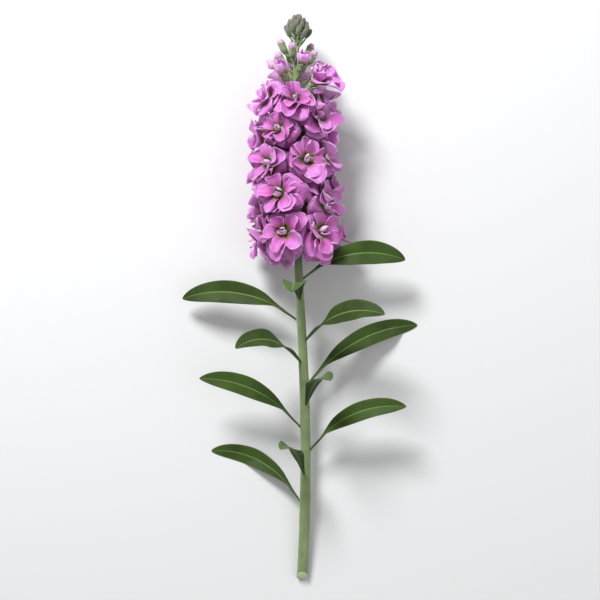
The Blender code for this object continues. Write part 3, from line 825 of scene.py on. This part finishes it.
def petal_grid(ring, petal, turn, base, axes, room, draw, ease):
    """One petal: a narrow claw and a broad round blade, cupped, waved and pressed by its neighbours."""
    face, ahead, aside_of = (np.array(axis) for axis in axes)
    s, t = shares(PETAL_ROWS, PETAL_COLUMNS)
    past = np.clip(s - 0.5, 0, 1) / 0.5
    rounding = PETAL_ROUNDING * (1 - np.sqrt(1 - 0.99 * t * t)) * past**1.3
    rounding = rounding + petal["notch"] * (1 - np.abs(t)) ** 1.5 * past**3
    start, end = radians(petal["rise_root"]), radians(petal["rise_tip"])
    bend = end - start
    bend = bend if abs(bend) > 0.01 else 0.01
    angle = start + bend * (s - rounding)
    out = ring.root * MM * petal["size"] + petal["length"] * (np.sin(angle) - sin(start)) / bend
    height = petal["length"] * (cos(start) - np.cos(angle)) / bend
    claw = mix(0.5, 1.0, smooth_all(s / PETAL_CLAW))
    narrowing = smooth_all((s - PETAL_BROADEST) / (1 - PETAL_BROADEST))
    wide = mix(1 - 0.03 * s, PETAL_TIP, narrowing) * claw
    aside = t * pi / ring.petals * wide
    cup = ring.cup + draw.uniform(-0.09, 0.09)
    waves, phase, more = draw.uniform(4.0, 7.0), draw.uniform(0, 2 * pi), draw.uniform(0, 2 * pi)
    lean = out * np.sin(aside) * petal["roll"] * np.minimum(s / PETAL_BROADEST, 1) + cup * out * t * t * s
    ripple = np.abs(t) ** 2 * s * np.sin(waves * s + phase + 1.7 * t)
    ripple = ripple + past**2 * 0.7 * np.sin(3.4 * t + more)
    lean = lean + petal["length"] * PETAL_RIPPLE * ripple
    lean = lean + out * petal["fold"] * (np.sqrt(t * t + 0.02) - 0.14) * smooth_all(s / PETAL_FOLDED)
    r = out - lean * np.sin(angle)
    height = height + lean * np.cos(angle)
    around = turn + aside
    grid = (
        np.array(base)
        + (ahead * np.cos(around)[..., None] + aside_of * np.sin(around)[..., None]) * r[..., None]
        + face * height[..., None]
    )
    return room.squeezed(grid, ring.curl, ease)


def petal_half():
    """Half the thickness of a petal at each of its points: thinner at the rim, thicker at the claw."""
    s, t = shares(PETAL_ROWS, PETAL_COLUMNS)
    rim = np.minimum(1 - np.abs(t) ** 6, 1 - s**8)
    return 0.5 * PETAL_THICKNESS * mix(0.45, 1.0, np.clip(rim, 0, 1)) * mix(1.5, 1.0, smooth_all(s / 0.3))


def make_floret(index, blooms):
    """A bloom with all its rings of petals, each petal pressed into the bloom's room."""
    bloom = blooms[index]
    draw = random.Random(FLORET_SEED + index)
    more = random.Random(RING_SEED + index)
    mouth, face, first, second = bloom_frame(bloom)
    room = Room(index, blooms)
    foot = mouth + face * SEAT_GAP
    piece = Piece(bloom.name + "_petals", [PETAL_FRONT, PETAL_BACK, SEPAL])
    start = draw.uniform(0, 2 * pi)
    rings = []
    opened = bloom.kind == "open"
    for number, ring in enumerate(RINGS[bloom.kind]):
        petals = petals_of(bloom, number, ring, draw, WILD if opened else TAME)
        rings.append((number, start + number * pi / ring.petals, ring, petals))
    for level, ring in INNER_RINGS[bloom.kind]:
        turn = start + level * 2 * pi / 5 + more.uniform(-0.15, 0.15)
        if opened and level > 1:
            count = more.choice((2, 3))
            ring = ring._replace(petals=count, length=ring.length * more.uniform(0.85, 1.2))
        wild = CUPPED if level > 1 else LOOSE if opened else TAME
        rings.append((level, turn, ring, petals_of(bloom, level, ring, more, wild)))
    half = petal_half()
    tone = more.uniform(0.2, 0.65) if opened else more.uniform(0.75, 0.95)
    # Painted light from above: the higher an open floret stands, the paler its petals are painted.
    if opened:
        tone += PAINTED_LIGHT_ABOVE * (bloom.height - HEAD_BOTTOM) / (HEAD_TOP - HEAD_BOTTOM)
    for level, turn, ring, petals in sorted(rings, key=lambda each: each[0]):
        ahead = first * cos(turn) + second * sin(turn)
        aside = second * cos(turn) - first * sin(turn)
        base = foot + face * ring.base * MM * bloom.size
        heart = smooth((level - 1.0) / 0.9) if opened else 0.3
        for k, petal in enumerate(petals):
            around = 2 * k * pi / ring.petals
            ease = more.uniform(*EASE[level]) if level in EASE else 1.0
            grid = petal_grid(ring, petal, around, base, (face, ahead, aside), room, more, ease)
            shade = min(max(tone + more.uniform(-0.25, 0.25), 0), 1)
            piece.sheet(grid, half, half, shade, heart)
    profile = MIDDLES[bloom.kind]
    points = [foot + face * (up * bloom.size - 0.8) * MM for up, _ in profile]
    piece.loft(tube_rings(points, [r * MM * bloom.size for _, r in profile], 10), 0.2, 0.0, 2)
    if bloom.kind == "opening":
        length, width = (measure * bloom.size for measure in OPENING_CORE)
        inner_bud(piece, foot, face, length, width, more, 0.3, 5, 0.16)
    return piece.made([bloom.name], "petal")


def bud_profile(high):
    """Radius of a rolled bud at a share of its height, as a share of its full radius."""
    return np.sin(pi * (0.07 + 0.83 * high)) ** 0.7


def inner_bud(piece, base, axis, length, width, draw, heart, petals, gape):
    """Petals rolled round a domed core, each with one edge under the next, closing at the top."""
    base = np.array(base)
    axes = axes_round(axis)
    high = np.linspace(0, 0.9, 9)
    domed = bud_profile(high) * np.sqrt(1 - (high / 0.92) ** 6)
    points = base + axes[0] * (length * high)[:, None]
    piece.loft(tube_rings(points, 0.4 * width * domed, 12), 0.6, heart, 0)
    s, t = shares(PETAL_ROWS, PETAL_COLUMNS)
    half = petal_half()
    start = draw.uniform(0, 2 * pi)
    for k in range(petals):
        reach = 1 - 0.14 * np.abs(t) ** 2.4 * s**2 - draw.uniform(0, 0.06) * s
        high = s * reach
        radius = 0.5 * width * np.maximum(bud_profile(high), gape) * (1 + 0.09 * t - 0.06 * (k % 2))
        around = start + k * 2 * pi / petals + t * 1.25 * mix(0.9, 1.0, s) + 0.35 * s
        grid = points_round(base, axes, length * high, around, radius)
        piece.sheet(grid[:, ::-1], half, half, draw.uniform(0.3, 1.0), heart, 1, 0)


def make_coloured_bud(index, blooms):
    """The rolled petals that show above the calyx of a bud."""
    bloom = blooms[index]
    draw = random.Random(BUD_SEED + index)
    mouth, face, _, _ = bloom_frame(bloom)
    size = 2 * FLORET_RADIUS * bloom.size
    piece = Piece(bloom.name + "_petals", [PETAL_FRONT, PETAL_BACK, SEPAL])
    base = mouth - face * 0.5 * MM
    inner_bud(piece, base, face, BUD_LENGTH * size + 0.8 * MM, BUD_WIDTH * size, draw, 0.5, 4, 0.1)
    return piece.made([bloom.name], "petal")


# Calyxes, stalks and the stem


def calyx(piece, mouth, face, length, radius, draw, spread, tips):
    """Four sepals joined in a cup round the foot of a bloom, their blunt tips standing free."""
    axes = axes_round(face)
    s, t = shares(11, 9)
    start = draw.uniform(0, 2 * pi)
    base = np.array(mouth) - axes[0] * length
    rim = np.minimum(1 - np.abs(t) ** 4, 1 - s**6)
    half = 0.5 * SEPAL_THICKNESS * mix(0.5, 1.0, np.clip(rim, 0, 1))
    for k in range(4):
        long = (length + tips) * draw.uniform(0.94, 1.04)
        high = s * (1 - 0.13 * np.abs(t) ** 2.2 * s**2)
        swell = mix(0.42, 1.0, smooth_all(high / 0.3)) * mix(1.0, 0.93, high)
        flare = spread * radius * smooth_all((high - 0.66) / 0.34) ** 1.3
        bulge = 1 + 0.10 * (1 - t * t) + (0.05 if k % 2 else 0.0)
        out = radius * swell * bulge + flare
        wide = 0.86 * mix(1.0, 0.62, smooth_all((high - 0.55) / 0.45))
        around = start + k * pi / 2 + t * wide * (1 - 0.35 * flare / (radius + flare))
        grid = points_round(base, axes, long * high, around, out)
        piece.sheet(grid[:, ::-1], half, half, draw.uniform(0.2, 0.9), 0.0, 1, 1)


def stalk_line(bloom):
    """A smooth line from inside the stem to the foot of the calyx."""
    mouth, face, _, _ = bloom_frame(bloom)
    length, _ = CALYX[bloom.kind]
    start = axis_point(bloom.height - STALK_DROP * bloom.reach)
    neck = mouth - face * length * 0.98
    lead = (neck - start).length
    first = start + (neck - start) * 0.33
    second = neck - face * lead * 0.3
    points = []
    for k in range(11):
        u = k / 10
        bends = first * 3 * u * (1 - u) ** 2, second * 3 * u * u * (1 - u)
        points.append(start * (1 - u) ** 3 + bends[0] + bends[1] + neck * u**3)
    return points


def make_stem(blooms):
    """The ridged main stem with leaf scars, its cut end, and every stalk and calyx grown on it."""
    piece = Piece("stem_and_calyxes", [STEM_SKIN, SEPAL, PITH])
    count, sides = ((150, 28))
    heights = [STEM_TOP * STEM_RUNS_ON * k / (count - 1) for k in range(count)]
    points = [axis_point(height) for height in heights]
    radii = [stem_radius(height) for height in heights]
    scars = [(SCAR_FROM + SCAR_STEP * k, radians(SCAR_TURN + k * GOLDEN_ANGLE)) for k in range(SCARS)]
    scars += [(leaf_place(k)[0], radians(90 - leaf_place(k)[1])) for k in range(LEAVES)]

    def ridge(turn, share):
        """Share of the radius: low ridges all along, and a knot at each leaf and scar."""
        height = share * STEM_TOP * STEM_RUNS_ON
        shape = 1 + 0.022 * np.cos(5 * turn + 9 * share) + 0.01 * np.cos(11 * turn + 3)
        for at, where in scars:
            apart = (turn - where + pi) % (2 * pi) - pi
            knot = np.exp(-((apart / 0.7) ** 2)) * np.exp(-(((height - at) / KNOT_HEIGHT) ** 2))
            shape = shape + KNOT * knot
        return shape

    rings = tube_rings(points, radii, sides, ridge)
    lip = axis_point(0) + Vector((0, 0.2 * MM, -CUT_RADIUS))
    cut = lip.y + CUT_SLANT * (rings[0, :, 2] - lip.z)
    for ring in range(CUT_RINGS):
        rings[ring, :, 1] = mix(cut, rings[CUT_RINGS, :, 1], ring / CUT_RINGS)
    rings[..., 2] = np.maximum(rings[..., 2], TABLE_GAP)
    piece.loft(rings, 0.5, 0.0, 0, 2)
    for index, bloom in enumerate(blooms):
        draw = random.Random(CALYX_SEED + index)
        mouth, face, _, _ = bloom_frame(bloom)
        length, radius = CALYX[bloom.kind]
        line = stalk_line(bloom)
        count = len(line)
        radii = [STALK_RADIUS * (1.5 - 0.6 * smooth(2.5 * k / (count - 1))) for k in range(count)]
        radii[-2] *= 1.15
        radii[-1] *= 1.5
        piece.loft(tube_rings(line, radii, 10), draw.uniform(0.4, 0.9))
        spread, tips = SEPAL_SPREAD[bloom.kind], SEPAL_TIPS[bloom.kind]
        calyx(piece, mouth, face, length, radius, draw, spread, tips)
    return piece.made(["stem"], "stem")


# The bud crown


def green_bud(piece, base, axis, length, width, draw):
    """A closed bud of four hooded sepals with sunk seams."""
    ahead, across, other = axes_round(axis)
    rows, sides = ((16, 24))
    up = np.linspace(0, 1, rows)[:, None]
    turn = (np.arange(sides) * 2 * pi / sides)[None, :]
    start = draw.uniform(0, 2 * pi)
    polar = pi * (0.04 + 0.94 * up)
    body = 0.95 * np.sin(polar) ** 0.5 * (1 + 0.14 * (2 * up - 1))
    seam = np.abs(np.cos(2 * (turn + start))) ** 10
    swell = 1 - 0.16 * seam * smooth_all(up / 0.25) + 0.04 * np.cos(4 * (turn + start))
    radius = 0.5 * width * body * swell
    lift = length * up - 0.03 * length * smooth_all((up - 0.8) / 0.2) * seam
    bow = draw.uniform(-0.06, 0.06) * length * np.sin(pi * up)
    rings = (
        np.array(base)
        + ahead * lift[..., None]
        + across * (radius * np.cos(turn) + bow)[..., None]
        + other * (radius * np.sin(turn))[..., None]
    )
    piece.loft(rings, draw.uniform(0.1, 1.0), 0.0, 0)


def crown_bud(number):
    """Root, foot, axis, length and width of a bud of the crown, from its edge to its middle."""
    up = number / (CROWN_BUDS - 1)
    azimuth = UPPER_AZIMUTH + (HALF_OPEN + OPENING_BUDS + PINK_BUDS + number) * GOLDEN_ANGLE
    edge = (1 - up) ** 0.5
    tip_height = mix(CROWN_TIPS[1], CROWN_TIPS[0], edge * edge)
    along, _, _ = stem_frame(tip_height)
    out = outward(tip_height, azimuth)
    lean = radians(CROWN_LEAN * edge)
    axis = along * cos(lean) + out * sin(lean)
    length = mix(*CROWN_LENGTH, up)
    foot = axis_point(tip_height) + out * CROWN_RADIUS * edge - axis * length
    return axis_point(mix(*CROWN_ROOTS, up)), foot, axis, length, mix(*CROWN_WIDTH, up)


def make_crown():
    """The tight green buds at the tip, each on its own short stalk, crowded on the end of the stem."""
    piece = Piece("bud_crown_buds", [GREEN_BUD, SEPAL])
    core = [axis_point(STEM_TOP - 1.2 * MM), axis_point(CROWN_ROOTS[0]), axis_point(CROWN_ROOTS[1])]
    piece.loft(tube_rings(core, CROWN_STEM, 12), 0.6, 0.0, 1)
    for k in range(CROWN_BUDS):
        draw = random.Random(CROWN_SEED + k)
        root, foot, axis, length, width = crown_bud(k)
        bend = foot - axis * (foot - root).length * 0.4
        stalk = []
        for step in range(7):
            u = step / 6
            stalk.append(root * (1 - u) ** 2 + bend * 2 * u * (1 - u) + foot * u * u)
        stalk.append(foot + axis * 0.12 * length)
        radii = [CROWN_STALK * mix(1.0, 0.8, k / 6) for k in range(7)] + [1.5 * CROWN_STALK]
        piece.loft(tube_rings(stalk, radii, 8), 0.6, 0.0, 1)
        green_bud(piece, foot, axis, length, width, draw)
    return piece.made(["bud_crown"], "green_bud")


# Leaves


def leaf_place(number):
    """Height, azimuth, length, width and angle of a leaf, kept off the side that the stem lies on."""
    up = number / (LEAVES - 1)
    height = mix(*LEAF_HEIGHT, up**LEAF_CROWDING)
    spiral = (LEAF_AZIMUTH + number * GOLDEN_ANGLE) % 360 - 180
    azimuth = spiral * LEAF_SPREAD / 180
    facing = cos(radians(azimuth)) ** 2
    length = mix(*LEAF_LENGTH, sin(pi * up)) * (1 - LEAF_SHORTER * facing)
    return height, azimuth, length, mix(*LEAF_WIDTH, up), mix(*LEAF_ANGLE, up)


def make_leaf(number):
    """One long blade with a sunk rib above and a raised one below, its margin gently waved."""
    height, azimuth, length, width, start_angle = leaf_place(number)
    along, _, _ = stem_frame(height)
    out = outward(height, azimuth)
    draw = random.Random(LEAF_SEED + number)
    bow = draw.uniform(*LEAF_BOW)
    sag = draw.uniform(*LEAF_SAG)
    turned = LEAF_TURN * abs(sin(radians(azimuth)))
    ripple = draw.uniform(0, 2 * pi)
    phase = draw.uniform(0, 2 * pi)
    foot = axis_point(height) + out * (stem_radius(height) + SEAT_GAP + 0.5 * LEAF_THICKNESS)
    rows, columns = ((56, 21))
    grid = np.zeros((rows, columns, 3))
    for i in range(rows):
        s = 1 - (1 + LEAF_ROOT) * (1 - i / (rows - 1)) ** 1.3
        start, turn = radians(start_angle), radians(bow)
        angle = start + turn * s
        centre = foot + along * length * (sin(angle) - sin(start)) / turn
        centre = centre + out * length * (cos(start) - cos(angle)) / turn
        centre = centre - out * LEAF_SUNK * (1 - smooth(s / 0.12))
        ahead = along * cos(angle) + out * sin(angle)
        upward = Vector((0, 0, 1)) - ahead * ahead.z
        inner = along * sin(angle) - out * cos(angle)
        normal = inner.lerp(upward.normalized(), turned * smooth(s / LEAF_TURNED)).normalized()
        across = ahead.cross(normal)
        past = max((s - LEAF_BROADEST) / (1 - LEAF_BROADEST), 0)
        wide = 0.5 * width * mix(LEAF_FOOT, 1, smooth(s / LEAF_BROADEST))
        wide *= (1 - 0.995 * past**LEAF_TAPER) ** 0.7
        wide *= mix(LEAF_ROOT_WIDTH, 1.0, smooth((s + LEAF_ROOT) / 0.15))
        for j in range(columns):
            t = 2 * j / (columns - 1) - 1
            lift = LEAF_FOLD * wide * ((t * t + 0.01) ** 0.5 - 0.1)
            lift += LEAF_RIPPLE * wide * t * sin(LEAF_WAVES * s + ripple)
            lift += 0.05 * wide * t * t * t * sin(21 * s + phase) * smooth(s / 0.3)
            point = centre + across * wide * t + normal * lift - Vector((0, 0, sag * s * s))
            point.z = max(point.z, 0.5 * LEAF_THICKNESS)
            grid[i, j] = point
    s, t = shares(rows, columns)
    rim = np.clip(np.minimum(1 - np.abs(t) ** 8, 1 - s**30), 0, 1)
    rib = np.exp(-((t / mix(0.16, 0.06, s)) ** 2)) * (1 - s) ** 0.6
    above = LEAF_BLADE * mix(0.4, 1.0, rim) - 0.22 * MM * rib * 0.5
    below = LEAF_BLADE * mix(0.4, 1.0, rim) + LEAF_RIB * rib
    piece = Piece(f"leaf_{number + 1:02d}_blade", [LEAF_TOP, LEAF_UNDER])
    normal_z = np.cross(np.gradient(grid, axis=0), np.gradient(grid, axis=1))[..., 2].mean()
    if normal_z < 0:
        grid = grid[:, ::-1]
    piece.sheet(grid, above, below, draw.uniform(0.2, 0.9), 0.0, 0, 1)
    return piece.made([f"leaf_{number + 1:02d}"], "leaf")


# Build


all_blooms = open_florets() + upper_blooms()
make_stem(all_blooms)
for order, each in enumerate(all_blooms):
    if each.kind in RINGS:
        make_floret(order, all_blooms)
    else:
        make_coloured_bud(order, all_blooms)
make_crown()
for leaf in range(LEAVES):
    make_leaf(leaf)


# Table, light and camera


def make_floor():
    """A plain pale table, 8 m across."""
    mesh = bpy.data.meshes.new("floor")
    half = 4.0
    corners = [(-half, -half, 0), (half, -half, 0), (half, half, 0), (-half, half, 0)]
    mesh.from_pydata(corners, [], [(0, 1, 2, 3)])
    floor = linked("floor", mesh)
    made = Finish("floor", Roughness=0.8, Specular_IOR_Level=0.1)
    mesh.materials.append(made.finish((0.66, 0.66, 0.66, 1)))


def area_light(name, place, target, size, power, colour):
    light = bpy.data.lights.new(name, "AREA")
    light.shape = "DISK"
    light.size = size
    light.energy = power
    light.color = colour
    holder = linked(name, light)
    holder.location = place
    holder.rotation_mode = "QUATERNION"
    holder.rotation_quaternion = (Vector(target) - Vector(place)).to_track_quat("-Z", "Y")


make_floor()
HEAD = (0.0, 0.11, 0.03)
area_light("key", (-0.45, 1.0, 0.95), HEAD, 0.45, 28.0, (0.98, 0.985, 1.0))
area_light("fill", (0.7, -0.3, 1.0), HEAD, 1.0, 2.5, (0.96, 0.98, 1.0))
world = bpy.data.worlds.new("studio")
world.use_nodes = True
background = world.node_tree.nodes["Background"]
background.inputs["Color"].default_value = (1.0, 1.0, 1.0, 1)
background.inputs["Strength"].default_value = 0.48
bpy.context.scene.world = world
bpy.context.scene.view_settings.view_transform = "Standard"
bpy.context.scene.view_settings.look = "None"

camera_data = bpy.data.cameras.new("camera")
camera_data.lens = 110
camera_data.sensor_width = 36
camera_data.clip_start = 0.05
camera_data.clip_end = 20
camera = linked("camera", camera_data)
camera.location = (0.0, 0.0, 1.32)
bpy.context.scene.camera = camera
